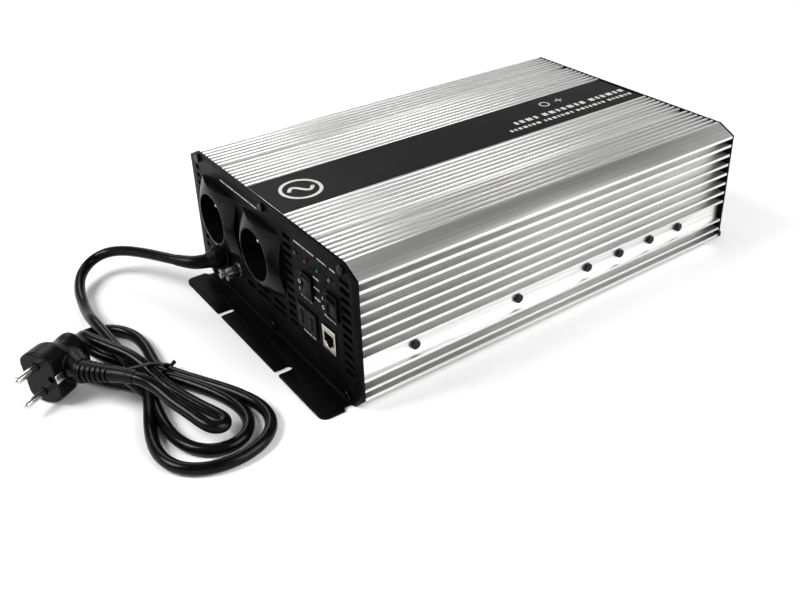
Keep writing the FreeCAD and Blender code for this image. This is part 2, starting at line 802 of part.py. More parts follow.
def earth_terminal():
    """Earth stud with a washer, a hexagon nut and a wing nut."""
    across = ("earth_x", "earth_z")
    washer_face = "-half_length - earth_washer_out"
    nut_face = "-half_length - earth_nut_out"
    wing_back = "-half_length - wing_back_out"
    hub_face = "-half_length - wing_hub_out"
    wing_tip = "-half_length - wing_tip_out"
    stud = rod("earth_bolt", "y", across, "earth_stud", "-half_length - earth_stud_out",
               "-half_length + earth_stud_in")
    node(stud, "earth_stud")
    washer = rod("washer_disc", "y", across, "earth_washer", washer_face, FRONT)
    node(cut("washer", washer, [rod("washer_bore", "y", across, "earth_stud", washer_face, FRONT)]),
         "earth_washer")
    hex_part = hexagon("earth_hex", "y", across, "earth_nut", nut_face, washer_face)
    bore = rod("earth_hex_bore", "y", across, "earth_stud", nut_face, washer_face)
    node(cut("earth_nut_solid", hex_part, [bore]), "earth_nut")
    hub = taper("wing_hub", "y", across, ("wing_hub_nose", "wing_hub"), hub_face, wing_back)
    wings = box("wings", ("earth_x - wing_reach", "earth_x + wing_reach"),
                (wing_tip, "-half_length - wing_start_out"), ("earth_z - wing_half", "earth_z + wing_half"))
    bore = rod("wing_bore", "y", across, "earth_stud", f"{wing_tip} - overrun", wing_back)
    notch = rod("wing_notch", "y", across, "wing_notch", f"{wing_tip} - overrun", hub_face)
    node(cut("wing_nut", fuse("wing_solid", [hub, wings]), [bore, notch]), "earth_wing_nut")


def fan(side, sign):
    """Axial fan behind the rear panel: a frame with a motor mount, a rotor and a wire guard."""
    place_x = f"{sign} * fan_x"
    across = (place_x, "fan_z")
    inner = "half_length - panel_sheet - fan_thick"
    mount_face = f"{inner} + strut_thick"
    frame = box("fan_frame", (f"{place_x} - fan_half", f"{place_x} + fan_half"), (inner, REAR_IN),
                ("fan_z - fan_half", "fan_z + fan_half"))
    duct = cut("fan_duct", frame, [rod("duct", "y", across, "fan_bore", f"{inner} - overrun", REAR)])
    mount = rod("motor_mount", "y", across, "hub_radius", inner, mount_face)
    strut_x = box("strut_x", (f"{place_x} - fan_bore - strut_bite", f"{place_x} + fan_bore + strut_bite"),
                  (inner, mount_face), ("fan_z - strut_half", "fan_z + strut_half"))
    strut_z = box("strut_z", (f"{place_x} - strut_half", f"{place_x} + strut_half"),
                  (inner, mount_face), ("fan_z - fan_bore - strut_bite", "fan_z + fan_bore + strut_bite"))
    node(fuse(f"fan_{side}", [duct, mount, strut_x, strut_z]), f"fan_{side}_frame")
    node(fuse(f"rotor_{side}", rotor_pieces(across, sign)), f"fan_{side}_rotor")
    node(fuse(f"guard_{side}", guard_wires(across, sign)), f"fan_{side}_guard")


BLADES = 7


def rotor_pieces(across, sign):
    """A hub with pitched blades, each turned round the fan's axis."""
    low = "half_length - panel_sheet - fan_thick + strut_thick + fan_gap"
    high = "half_length - panel_sheet - fan_gap"
    pieces = [rod("hub", "y", across, "hub_radius", low, high)]
    middle = (sheet.evalExpression(bound(low)) + sheet.evalExpression(bound(high))) / 2
    centre = Vector(sign * SIZES["fan_x"], middle, SIZES["fan_z"])
    half_blade = Vector(SIZES["hub_radius"] - SIZES["blade_root"], -SIZES["blade_thick"] / 2,
                        -SIZES["blade_deep"] / 2)
    pitch = Placement(Vector(), Rotation(Vector(1, 0, 0), sign * SIZES["blade_pitch"]))
    for count in range(BLADES):
        blade = doc.addObject("Part::Box", "blade")
        blade.setExpression("Length", bound("blade_tip - hub_radius + blade_root"))
        blade.setExpression("Width", bound("blade_thick"))
        blade.setExpression("Height", bound("blade_deep"))
        station = Placement(Vector(), Rotation(Vector(0, 0, 1), count * 360 / BLADES))
        blade.Placement = Placement(centre, TURN["y"]) * station * pitch * Placement(half_blade, Rotation())
        pieces.append(blade)
    return pieces


GUARD_RINGS = (8, 16, 24, 32)


def guard_wires(across, sign):
    """Rings and two crossed bars over the fan's opening."""
    wires = []
    low, high = REAR, "half_length + guard_wire"
    for radius in GUARD_RINGS:
        disc = rod("guard_disc", "y", across, f"{radius} + guard_wire / 2", low, high)
        eye = rod("guard_eye", "y", across, f"{radius} - guard_wire / 2", low, high)
        wires.append(cut("guard_ring", disc, [eye]))
    centre = Vector(sign * SIZES["fan_x"], SIZES["half_length"], SIZES["fan_z"])
    half_bar = Vector(-SIZES["guard_reach"], 0, -SIZES["guard_wire"] / 2)
    for turn in (45, 135):
        bar = doc.addObject("Part::Box", "guard_bar")
        bar.setExpression("Length", bound("2 * guard_reach"))
        bar.setExpression("Width", bound("guard_wire"))
        bar.setExpression("Height", bound("guard_wire"))
        bar.Placement = Placement(centre, Rotation(Vector(0, 1, 0), turn)) * Placement(half_bar, Rotation())
        wires.append(bar)
    return wires


def battery_terminal(side, sign):
    """Battery stud on an insulating base, with a flanged nut."""
    across = (f"{sign} * terminal_x", "terminal_z")
    base_face = "half_length + terminal_base_out"
    nut_face = "half_length + terminal_nut_out"
    base = rod("terminal_disc", "y", across, "terminal_radius", REAR, base_face)
    bore = ("terminal_shank", "half_length - terminal_bore_in", f"{nut_face} + overrun")
    node(cut(f"base_{side}", base, [rod("base_bore", "y", across, *bore)]), f"{side}_terminal_base")
    shank = rod("terminal_bolt", "y", across, "terminal_shank", "half_length - terminal_in", nut_face)
    tip = rod("terminal_tip", "y", across, "terminal_stud", nut_face, "half_length + terminal_tip_out")
    node(fuse(f"stud_{side}", [shank, tip]), f"{side}_terminal_stud")
    nut = hexagon("terminal_hex_solid", "y", across, "terminal_hex", base_face, nut_face)
    node(cut(f"nut_{side}", nut, [rod("nut_bore", "y", across, *bore)]), f"{side}_terminal_nut")


CAN_ROWS = (60, 90)
CHOKE_PLACE = Vector(62, -70, 17.6)
CONTROL_BOARD = ((40, 96), (-150, -148.4), (22, 84))


def electronics():
    """Power board on standoffs, with transformers, capacitors, a choke and a control board."""
    posts = [
        rod("post", "z", (f"{side} * post_x", f"{row} * post_y"), "post_radius", "base_sheet", "board_under")
        for side in (-1, 1)
        for row in (-1, 0, 1)
    ]
    node(group("posts", posts), "board_standoffs")
    board = box("board", ("-board_half_x", "board_half_x"), ("-board_half_y", "board_half_y"),
                ("board_under", "board_top"))
    node(board, "power_board")
    cores = [
        box("core", ("-core_half_x", "core_half_x"),
            (f"{row} * core_pitch - core_half_y", f"{row} * core_pitch + core_half_y"),
            ("board_top", "core_top"))
        for row in (-1, 0, 1)
    ]
    node(group("cores", cores), "transformers")
    cans = [
        rod("can", "z", (f"{side} * can_x", along), "can_radius", "board_top", "can_top")
        for side in (-1, 1)
        for along in CAN_ROWS
    ]
    node(group("cans", cans), "bulk_capacitors")
    toroid = doc.addObject("Part::Torus", "toroid")
    toroid.setExpression("Radius1", bound("choke_ring"))
    toroid.setExpression("Radius2", bound("choke_thick"))
    toroid.Placement = Placement(CHOKE_PLACE, Rotation())
    node(toroid, "output_choke")
    node(box("control", *CONTROL_BOARD), "control_board")


# The cord's route from the gland to the bundle: along the axis, round to the left, down to the floor.
CORD_ROUTE = (
    (-76, -194, 32),
    (-76.5, -209, 32),
    (-84, -222.5, 32),
    (-98, -231.5, 31),
    (-121, -234, 28),
    (-147, -232, 23),
    (-163, -247, 17),
    (-163, -269, 11),
    (-147, -285, 6),
    (-123, -289, 4.3),
    (-99, -288, 6),
    (-76, -286, 11),
)
ARC_SHARE = 0.45
# Each lobe of the bundle: its name, centre, half length, half width and turn.
BUNDLE_LOBES = (
    ("lobe_right", (61, -259), 58, 33, -3),
    ("lobe_left", (-38, -279), 42, 21, 6),
)
TIE_PLACE = Vector(8, -276, 0)
WAIST_LOW = "-tie_half + 4"


def rounded_path(points):
    """Straight runs joined by tangent arcs, each as large as its two runs allow. Prints the radii."""
    points = [Vector(*point) for point in points]
    edges = []
    start = points[0]
    radii = []
    for before, corner, after in zip(points, points[1:], points[2:]):
        back = before - corner
        ahead = after - corner
        setback = ARC_SHARE * min(back.Length, ahead.Length)
        half_turn = (math.pi - back.getAngle(ahead)) / 2
        radius = setback / math.tan(half_turn)
        radii.append(round(radius, 1))
        first = corner + back.normalize() * setback
        last = corner + ahead.normalize() * setback
        bisector = (back + ahead).normalize()
        middle = corner + bisector * (radius / math.cos(half_turn) - radius)
        edges.append(Part.LineSegment(start, first).toShape())
        edges.append(Part.Arc(first, middle, last).toShape())
        start = last
    edges.append(Part.LineSegment(start, points[-1]).toShape())
    print("cord bend radii, mm:", radii)
    return Part.Wire(edges)


def cord():
    """The free stretch of the mains lead, the bundle of its other turns and the tie round them."""
    path = rounded_path(CORD_ROUTE)
    radius = sheet.get("cord_radius")
    circle = Part.Wire(Part.makeCircle(radius, Vector(*CORD_ROUTE[0]), path.Edges[0].tangentAt(0)))
    tube = doc.addObject("Part::Feature", "tube")
    tube.Shape = path.makePipeShell([circle], True, False)
    expected = math.pi * radius ** 2 * path.Length
    print("cord tube, mm:", round(path.Length, 1), "volume ratio:", round(tube.Shape.Volume / expected, 4))
    node(tube, "cord_tube")
    lobes = []
    for name, centre, major, minor, turn in BUNDLE_LOBES:
        outline = doc.addObject("Part::Ellipse", name)
        outline.MajorRadius = major
        outline.MinorRadius = minor
        outline.Placement = Placement(Vector(*centre, 0), Rotation(Vector(0, 0, 1), turn))
        lobe = doc.addObject("Part::Extrusion", f"{name}_solid")
        lobe.Base = outline
        lobe.DirMode = "Custom"
        lobe.Dir = Vector(0, 0, 1)
        lobe.Solid = True
        lobe.setExpression("LengthFwd", bound("bundle_top"))
        lobes.append(lobe)
    waist = box("waist", ("-bundle_waist_half", "bundle_waist_half"), (WAIST_LOW, "tie_half"),
                (0, "bundle_top + overrun"))
    strap = box("strap", ("-strap_half", "strap_half"),
                (f"{WAIST_LOW} - strap_thick", "tie_half + strap_thick"),
                (0, "bundle_top + overrun + strap_thick"))
    gap = box("strap_gap", ("-strap_half - overrun", "strap_half + overrun"), (WAIST_LOW, "tie_half"),
              ("-overrun", "bundle_top + overrun"))
    tie = cut("tie", strap, [gap])
    turned = group("turned_waist", [waist])
    for piece in (turned, tie):
        piece.Placement = Placement(TIE_PLACE, Rotation(Vector(0, 0, 1), SIZES["tie_turn"]))
    node(fuse("bundle", lobes + [turned]), "cord_bundle")
    node(tie, "cord_tie")


def plug():
    """Angled mains plug: a round face with two pins, flat sides with earth clips and a ribbed sleeve.

    It is built with its pins along -Y and its cord arm along +X, then turned. The arm rises onto the bundle.
    """
    seat = Placement(
        Vector(SIZES["plug_x"], SIZES["plug_y"], SIZES["plug_up"]),
        Rotation(SIZES["plug_turn"], -SIZES["plug_rise"], SIZES["plug_roll"]),
    )
    disc = rod("plug_disc", "y", (0, 0), "plug_radius", 0, "plug_rim")
    dome = taper("plug_dome", "y", (0, 0), ("plug_radius", "plug_back_radius"), "plug_rim", "plug_deep")
    flats = box("plug_flats", ("-plug_flat", "plug_flat"), (0, "plug_deep"), ("-plug_radius", "plug_radius"))
    head = common("plug_head", fuse("plug_round", [disc, dome]), flats)
    arm = rod("plug_arm_solid", "x", ("plug_rim", 0), "plug_arm", 0, "sleeve_start")
    tools = [rod("plug_hole_tool", "y", ("plug_hole_x", 0), "plug_hole", "-overrun", "plug_hole_deep")]
    clips = []
    for sign in (-1, 1):
        inner = "plug_flat - clip_sunk"
        seat_x = (inner, "plug_flat + overrun")
        clip_x = (inner, f"{inner} + clip_thick")
        if sign < 0:
            seat_x, clip_x = ([f"-({limit})" for limit in limits[::-1]] for limits in (seat_x, clip_x))
        tools.append(box("clip_seat", seat_x, ("-overrun", "clip_long"), ("-clip_half", "clip_half")))
        clips.append(box("clip", clip_x, (0, "clip_long"), ("-clip_half", "clip_half")))
    pins = []
    for level in ("-pin_spacing_half", "pin_spacing_half"):
        neck = "-plug_pin_long + plug_pin_tip"
        shaft = rod("plug_pin_shaft", "y", (0, level), "plug_pin", neck, "plug_pin_root")
        tip = taper("plug_pin_nose", "y", (0, level), ("earth_pin_tip", "plug_pin"), "-plug_pin_long", neck)
        pins.append(fuse("plug_pin_solid", [shaft, tip]))
        tools.append(rod("plug_pin_seat", "y", (0, level), "plug_pin", "-overrun", "plug_pin_root"))
    sleeve = taper("sleeve_cone", "x", ("plug_rim", 0), ("sleeve_wide", "sleeve_thin"), "sleeve_start",
                   "sleeve_end")
    pieces = (
        (cut("plug_body_solid", fuse("plug_solid", [head, arm]), tools), "plug_body"),
        (group("plug_pins_pair", pins), "plug_pins"),
        (group("plug_clips_pair", clips), "plug_earth_clips"),
        (group("plug_sleeve_solid", [sleeve]), "plug_sleeve"),
    )
    for piece, label in pieces:
        piece.Placement = seat * piece.Placement
        node(piece, label)


housing()
screws()
front_panel()
rear_panel()
node(group("sleeves", mains_socket("left") + mains_socket("right")), "ac_socket_sleeves")
rocker_switch("left", 0)
rocker_switch("right", SIZES["switch_tilt"])
lights()
usb_ports()
network_jack()
cord_entry()
earth_terminal()
fan("left", -1)
fan("right", 1)
battery_terminal("positive", -1)
battery_terminal("negative", 1)
electronics()
cord()
plug()
doc.recompute()

for item in doc.Objects:
    if "Invalid" in item.State or "Error" in item.State:
        raise RuntimeError(f"{item.Label} did not compute: {item.State}")
for piece in nodes:
    if piece.Shape.isNull() or not piece.Shape.isValid() or not piece.Shape.Solids:
        raise RuntimeError(f"{piece.Label} has no valid solid")
for piece in nodes:
    piece.Shape.exportStep(f"parts/{piece.Label}.step")
print(len(nodes), "sub-parts written")
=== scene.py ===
"""The power inverter's looks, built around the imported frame. Metres, in the frame's own axes."""
import json
import math

import bmesh
import bpy
from mathutils import Matrix, Vector


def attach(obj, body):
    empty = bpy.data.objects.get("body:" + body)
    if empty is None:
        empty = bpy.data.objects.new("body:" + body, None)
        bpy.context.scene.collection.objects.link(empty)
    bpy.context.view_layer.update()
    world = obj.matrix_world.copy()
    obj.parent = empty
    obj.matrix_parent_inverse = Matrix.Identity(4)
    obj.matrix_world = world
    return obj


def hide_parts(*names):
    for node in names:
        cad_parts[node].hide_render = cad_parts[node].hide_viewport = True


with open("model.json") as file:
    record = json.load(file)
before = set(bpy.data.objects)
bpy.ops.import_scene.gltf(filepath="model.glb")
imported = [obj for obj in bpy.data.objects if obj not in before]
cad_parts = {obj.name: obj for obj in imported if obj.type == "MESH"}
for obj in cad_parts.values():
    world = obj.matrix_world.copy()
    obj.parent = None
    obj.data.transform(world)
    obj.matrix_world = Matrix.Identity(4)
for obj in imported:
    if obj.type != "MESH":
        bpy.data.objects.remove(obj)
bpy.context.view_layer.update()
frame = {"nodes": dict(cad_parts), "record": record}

MM = 0.001
HOUSING = "housing"
UP = Vector((0, 0, 1))
AT_ORIGIN = Matrix.Identity(4)

slots = {entry["node"]: entry["material_slot"] for entry in frame["record"]["subparts"]}


# ---------------------------------------------------------------- materials


def shader(name, color, roughness, metallic=0.0, **sockets):
    """A material and its principled shader. sockets are other constant inputs of that shader."""
    mat = bpy.data.materials.new(name)
    mat.use_nodes = True
    main = mat.node_tree.nodes["Principled BSDF"]
    main.inputs["Base Color"].default_value = (*color, 1)
    main.inputs["Roughness"].default_value = roughness
    main.inputs["Metallic"].default_value = metallic
    for socket, value in sockets.items():
        main.inputs[socket.replace("_", " ")].default_value = value
    return mat, main


def noise(mat, scale, detail=3.0, stretch=(1, 1, 1)):
    """A noise pattern in the frame's axes. scale is in features per metre."""
    nodes, links = mat.node_tree.nodes, mat.node_tree.links
    place = nodes.new("ShaderNodeTexCoord")
    size = nodes.new("ShaderNodeMapping")
    size.inputs["Scale"].default_value = stretch
    pattern = nodes.new("ShaderNodeTexNoise")
    pattern.inputs["Scale"].default_value = scale
    pattern.inputs["Detail"].default_value = detail
    links.new(place.outputs["Object"], size.inputs["Vector"])
    links.new(size.outputs["Vector"], pattern.inputs["Vector"])
    return pattern.outputs["Fac"]


def spread(mat, source, low, high, start=0.35, end=0.65):
    """Maps a pattern from start..end onto low..high."""
    node = mat.node_tree.nodes.new("ShaderNodeMapRange")
    node.inputs["From Min"].default_value = start
    node.inputs["From Max"].default_value = end
    node.inputs["To Min"].default_value = low
    node.inputs["To Max"].default_value = high
    mat.node_tree.links.new(source, node.inputs["Value"])
    return node.outputs["Result"]


def tint(mat, main, source, first, second):
    """The base colour runs from first to second with a pattern."""
    share = spread(mat, source, 0, 1)
    nodes, links = mat.node_tree.nodes, mat.node_tree.links
    blend = nodes.new("ShaderNodeMix")
    blend.data_type = "RGBA"
    blend.inputs["A"].default_value = (*first, 1)
    blend.inputs["B"].default_value = (*second, 1)
    links.new(share, blend.inputs["Factor"])
    links.new(blend.outputs["Result"], main.inputs["Base Color"])


def gloss(mat, main, source, low, high):
    """The roughness runs from low to high with a pattern."""
    mat.node_tree.links.new(spread(mat, source, low, high), main.inputs["Roughness"])


def relief(mat, main, source, strength, distance):
    """Surface bump from a pattern."""
    nodes, links = mat.node_tree.nodes, mat.node_tree.links
    bump = nodes.new("ShaderNodeBump")
    bump.inputs["Strength"].default_value = strength
    bump.inputs["Distance"].default_value = distance
    links.new(source, bump.inputs["Height"])
    links.new(bump.outputs["Normal"], main.inputs["Normal"])


def extruded_aluminium():
    """Satin anodised extrusion: die lines along the profile and faint handling marks."""
    mat, main = shader("extruded_aluminium", (0.66, 0.66, 0.65), 0.36, 0.94)
    lines = noise(mat, 1.0, 2.0, (420, 4, 420))
    wear = noise(mat, 9.0, 4.0)
    tint(mat, main, lines, (0.63, 0.63, 0.625), (0.76, 0.755, 0.745))
    gloss(mat, main, wear, 0.31, 0.35)
    relief(mat, main, lines, 0.1, 0.00004)
    return mat


def powder_coat():
    """Fine-textured black coating on sheet steel."""
    mat, main = shader("powder_coat", (0.004, 0.004, 0.0045), 0.45, 0.0, Specular_IOR_Level=0.07)
    grain = noise(mat, 2600, 2.0)
    patch = noise(mat, 30, 3.0)
    tint(mat, main, patch, (0.0028, 0.0028, 0.003), (0.005, 0.005, 0.0055))
    gloss(mat, main, grain, 0.36, 0.56)
    relief(mat, main, grain, 0.35, 0.00012)
    return mat


def moulded(name, color, roughness, grain_size=1800, depth=0.00005, shine=0.5):
    """Injection-moulded plastic with a fine grain."""
    mat, main = shader(name, color, roughness, 0.0, Specular_IOR_Level=shine)
    grain = noise(mat, grain_size, 2.0)
    patch = noise(mat, 60, 3.0)
    tint(mat, main, patch, color, tuple(value * 1.35 for value in color))
    gloss(mat, main, grain, roughness * 0.8, roughness * 1.25)
    relief(mat, main, grain, 0.3, depth)
    return mat


def cord_sheath():
    """Glossy PVC sheath, with the faint waves of the cores under it."""
    mat, main = shader("cord_sheath", (0.005, 0.005, 0.005), 0.22, 0.0, Specular_IOR_Level=0.16)
    waves = noise(mat, 160, 2.0)
    grain = noise(mat, 2200, 2.0)
    tint(mat, main, waves, (0.003, 0.003, 0.0032), (0.007, 0.007, 0.007))
    gloss(mat, main, grain, 0.18, 0.27)
    relief(mat, main, waves, 0.3, 0.0004)
    return mat


def plated(name, color, roughness=0.18):
    """Nickel-plated metal with small marks."""
    mat, main = shader(name, color, roughness, 1.0)
    marks = noise(mat, 900, 4.0)
    tint(mat, main, marks, tuple(value * 0.92 for value in color), color)
    gloss(mat, main, marks, roughness, roughness * 1.5)
    relief(mat, main, marks, 0.04, 0.00001)
    return mat


def label_film():
    """Matte black printed film."""
    mat, main = shader("label_film", (0.012, 0.011, 0.011), 0.45, 0.0, Specular_IOR_Level=0.12)
    grain = noise(mat, 3000, 2.0)
    patch = noise(mat, 14, 4.0)
    tint(mat, main, patch, (0.009, 0.0085, 0.0085), (0.015, 0.014, 0.014))
    gloss(mat, main, grain, 0.36, 0.52)
    relief(mat, main, grain, 0.2, 0.00004)
    return mat


def print_ink():
    """White screen-printed marks."""
    mat, main = shader("print_ink", (0.5, 0.5, 0.49), 0.5)
    patch = noise(mat, 1200, 3.0)
    tint(mat, main, patch, (0.4, 0.4, 0.39), (0.6, 0.6, 0.585))
    return mat


def lens(name, color, glow=0.0):
    """A tinted indicator lens."""
    mat, main = shader(name, color, 0.12, 0.0, Transmission_Weight=0.35, IOR=1.49)
    cloud = noise(mat, 700, 2.0)
    tint(mat, main, cloud, tuple(value * 0.7 for value in color), color)
    main.inputs["Emission Color"].default_value = (*color, 1)
    main.inputs["Emission Strength"].default_value = glow
    return mat


ALUMINIUM = extruded_aluminium()
COATED = powder_coat()
SCREW_BLACK = plated("screw_black", (0.035, 0.035, 0.037), 0.28)
GLOSS = moulded("gloss_plastic", (0.005, 0.005, 0.0055), 0.2, 900, 0.00002, 0.13)
MATTE = moulded("matte_plastic", (0.006, 0.006, 0.0065), 0.42, shine=0.18)
SHEATH = cord_sheath()
PLUG_BLACK = moulded("plug_plastic", (0.004, 0.004, 0.004), 0.34, 1500, shine=0.16)
NICKEL = plated("nickel", (0.66, 0.65, 0.62))
STEEL = plated("steel", (0.3, 0.295, 0.28), 0.24)
PORT = plated("port_shell", (0.11, 0.11, 0.115), 0.3)
SHIELD = plated("jack_shield", (0.72, 0.71, 0.6), 0.34)
GOLD = plated("gold", (0.83, 0.62, 0.25))
FILM = label_film()
INK = print_ink()
RED = moulded("red_plastic", (0.42, 0.012, 0.012), 0.25)
BOARD = moulded("board", (0.02, 0.12, 0.05), 0.35)
BRASS = plated("brass", (0.7, 0.52, 0.22), 0.25)
CORE = moulded("core", (0.06, 0.045, 0.035), 0.5)

# ---------------------------------------------------------------- helpers

# Angles in degrees: edges sharper than the first stay sharp, edges sharper than the second are bevelled, and
# faces that meet at less than the third become one.
SMOOTH_ANGLE = 35
BEVEL_ANGLE = 38
FLAT_ANGLE = 0.6
SAME_POINT = 1e-6


def mesh_of(name, shape):
    """A mesh from a bmesh, which is freed."""
    mesh = bpy.data.meshes.new(name)
    shape.to_mesh(mesh)
    shape.free()
    return mesh


def linked(name, data):
    """A new object in the scene."""
    piece = bpy.data.objects.new(name, data)
    bpy.context.collection.objects.link(piece)
    return piece


def smooth(mesh, angle):
    """Smooth shading, but for edges sharper than angle."""
    for polygon in mesh.polygons:
        polygon.use_smooth = True
    mesh.set_sharp_from_angle(angle=math.radians(angle))


def settle(piece, angle=SMOOTH_ANGLE):
    """Applies the modifiers and smooths all but the sharp edges."""
    evaluated = piece.evaluated_get(bpy.context.evaluated_depsgraph_get())
    mesh = bpy.data.meshes.new_from_object(evaluated)
    piece.modifiers.clear()
    piece.data = mesh
    smooth(mesh, angle)


def refined(node, material, bevel, body=HOUSING, segments=2):
    """A copy of a CAD node with its edges eased, in place of that node."""
    source = frame["nodes"][node]
    shape = bmesh.new()
    shape.from_mesh(source.data)
    bmesh.ops.remove_doubles(shape, verts=shape.verts, dist=SAME_POINT)
    flat = math.radians(FLAT_ANGLE)
    bmesh.ops.dissolve_limit(shape, angle_limit=flat, verts=shape.verts, edges=shape.edges)
    piece = linked(f"{node}_fine", mesh_of(f"{node}_fine", shape))
    piece.matrix_world = source.matrix_world.copy()
    ease = piece.modifiers.new("ease", "BEVEL")
    ease.width = bevel
    ease.segments = segments
    ease.limit_method = "ANGLE"
    ease.angle_limit = math.radians(BEVEL_ANGLE)
    ease.use_clamp_overlap = True
    settle(piece)
    piece.data.materials.clear()
    piece.data.materials.append(material)
    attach(piece, body)
    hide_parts(node)
    return piece


def darken_inside(piece, depth):
    """Faces further back than depth from the piece's front turn to matt black plastic."""
    piece.data.materials.append(MATTE)
    front = min(vertex.co.y for vertex in piece.data.vertices)
    for polygon in piece.data.polygons:
        if polygon.center.y > front + depth:
            polygon.material_index = 1


def made(name, shape, material, smooth_angle=SMOOTH_ANGLE):
    """A new piece from a bmesh. It rides on the housing."""
    mesh = mesh_of(name, shape)
    piece = linked(name, mesh)
    smooth(mesh, smooth_angle)
    mesh.materials.append(material)
    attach(piece, HOUSING)
    return piece


def dress(node, material):
    """A CAD node keeps its shape and takes a material."""
    for place in frame["nodes"][node].material_slots:
        place.material = material


def circle(corners):
    """Evenly spaced angles round a full turn."""
    return [2 * math.pi * step / corners for step in range(corners)]


def bridge(shape, rings, closed, caps=False):
    """Joins rings of equal numbers of points with faces."""
    count = len(rings[0])
    last = len(rings) if closed else len(rings) - 1
    for index in range(last):
        first, second = rings[index], rings[(index + 1) % len(rings)]
        for corner in range(count):
            following = (corner + 1) % count
            shape.faces.new((first[corner], first[following], second[following], second[corner]))
    if caps:
        shape.faces.new(rings[0][::-1])
        shape.faces.new(rings[-1])
    bmesh.ops.recalc_face_normals(shape, faces=shape.faces)


def skin(sections, place=AT_ORIGIN):
    """A closed bmesh skin through rings of points in millimetres, moved to place."""
    shape = bmesh.new()
    rings = []
    for section in sections:
        rings.append([shape.verts.new(place @ (Vector(point) * MM)) for point in section])
    bridge(shape, rings, closed=False, caps=True)
    return shape


# ---------------------------------------------------------------- camera, light and floor

# The photograph's viewpoint in metres, the camera's own axes, and its lens with the shift for the framing.
CAMERA_PLACE = (0.52417, -0.41780, 0.39699)
CAMERA_RIGHT = Vector((0.58980, 0.80731, -0.01944))
CAMERA_UP = Vector((-0.37492, 0.29507, 0.87884))
LENS_MM = 41.61
SENSOR_MM = 36
SHIFT_X = -0.0266
SHIFT_Y = -0.0969

# The surround's strength falls from To Min to To Max as a direction's height goes from From Min to From Max.
SURROUND = {"From Min": 0.12, "From Max": 0.38, "To Min": 1.12, "To Max": 0.18}

# Each lamp's name, place and width in metres, and power in watts.
LAMPS = (
    ("key", (-1.6, 0.1, 1.35), 0.8, 7),
    ("front", (-0.5, -1.5, 1.5), 0.9, 34),
    ("side", (1.5, 0.95, 1.1), 1.6, 42),
)
LAMP_AIM = Vector((0, 0, 0.05))
FLOOR_SIZE = 6


def set_camera():
    """The camera at the photograph's viewing angle."""
    camera = bpy.data.cameras.new("camera")
    camera.lens = LENS_MM
    camera.sensor_width = SENSOR_MM
    camera.shift_x = SHIFT_X
    camera.shift_y = SHIFT_Y
    holder = linked("camera", camera)
    back = CAMERA_RIGHT.cross(CAMERA_UP)
    turn = Matrix((CAMERA_RIGHT, CAMERA_UP, back)).transposed().to_4x4()
    holder.matrix_world = Matrix.Translation(CAMERA_PLACE) @ turn
    bpy.context.scene.camera = holder


def set_surround():
    """A white surround that is bright low down and dim overhead, and the picture's tones."""
    world = bpy.data.worlds.new("studio")
    world.use_nodes = True
    nodes, links = world.node_tree.nodes, world.node_tree.links
    place = nodes.new("ShaderNodeTexCoord")
    split = nodes.new("ShaderNodeSeparateXYZ")
    fade = nodes.new("ShaderNodeMapRange")
    for socket, value in SURROUND.items():
        fade.inputs[socket].default_value = value
    links.new(place.outputs["Generated"], split.inputs["Vector"])
    links.new(split.outputs["Z"], fade.inputs["Value"])
    links.new(fade.outputs["Result"], nodes["Background"].inputs["Strength"])
    nodes["Background"].inputs["Color"].default_value = (1.0, 1.0, 1.0, 1)
    bpy.context.scene.world = world
    bpy.context.scene.view_settings.view_transform = "Standard"
    bpy.context.scene.view_settings.look = "Medium High Contrast"


def set_lamps():
    """Three soft square lamps."""
    for name, place, size, power in LAMPS:
        light = bpy.data.lights.new(name, "AREA")
        light.shape = "SQUARE"
        light.size = size
        light.energy = power
        lamp = linked(name, light)
        lamp.location = place
        lamp.rotation_euler = (LAMP_AIM - Vector(place)).to_track_quat("-Z", "Y").to_euler()


def set_floor():
    """A plain pale floor."""
    shape = bmesh.new()
    bmesh.ops.create_grid(shape, x_segments=1, y_segments=1, size=FLOOR_SIZE)
    mesh = mesh_of("floor", shape)
    floor = linked("floor", mesh)
    mesh.materials.append(shader("paper", (0.93, 0.93, 0.93), 0.7)[0])


# ---------------------------------------------------------------- mains lead

CORD_RADIUS = 4.1 * MM

# From the gland round to the left, down to the floor and up onto the bundle, in millimetres.
CORD_START = (
    (-76, -194, 32),
    (-77, -202, 32.4),
    (-88, -210.5, 32.2),
    (-104, -218, 31),
    (-126, -227.5, 28.4),
    (-146, -236.5, 24.6),
    (-160, -247, 20),
    (-162.5, -260, 15),
    (-152, -272, 11),
    (-135, -279, 8),
    (-115, -282.5, 7),
    (-96, -285, 9),
    (-81, -286, 12.6),
    (-67, -285.5, 12.8),
    (-46, -284.5, 12.5),
    (-22, -283.5, 12),
)
# A short fold to the left, out under the lead and back over it.
CORD_OVER = (
    (-12, -276, 4.1),
    (-25, -282.5, 4.1),
    (-39, -289.5, 4.1),
    (-50, -295, 4.8),
    (-58, -299.5, 8.6),
    (-58.5, -301, 17.4),
    (-50, -300, 21.6),
    (-40, -296.5, 21.8),
    (-28, -291, 21.4),
    (-13, -283.5, 20.8),
)
# The last, narrow fold on top of the bundle, out and back to the plug's sleeve.
CORD_FINISH = (
    (0, -279, 19),
    (12, -276, 16),
    (27, -273.5, 13.5),
    (43, -268.5, 12.5),
    (58, -263.5, 12),
    (72, -259, 13),
    (83, -257, 14.6),
    (91, -260.5, 16.4),
    (90.5, -268, 18.2),
    (82, -272, 19.4),
    (72, -274.5, 20.5),
    (56, -279.5, 22),
    (39, -283.5, 26),
    (25.5, -292, 29.2),
    (13.2, -300.6, 27.3),
)
# The height of the middle of a strand that lies on the floor.
FLOOR_Z = 4.1

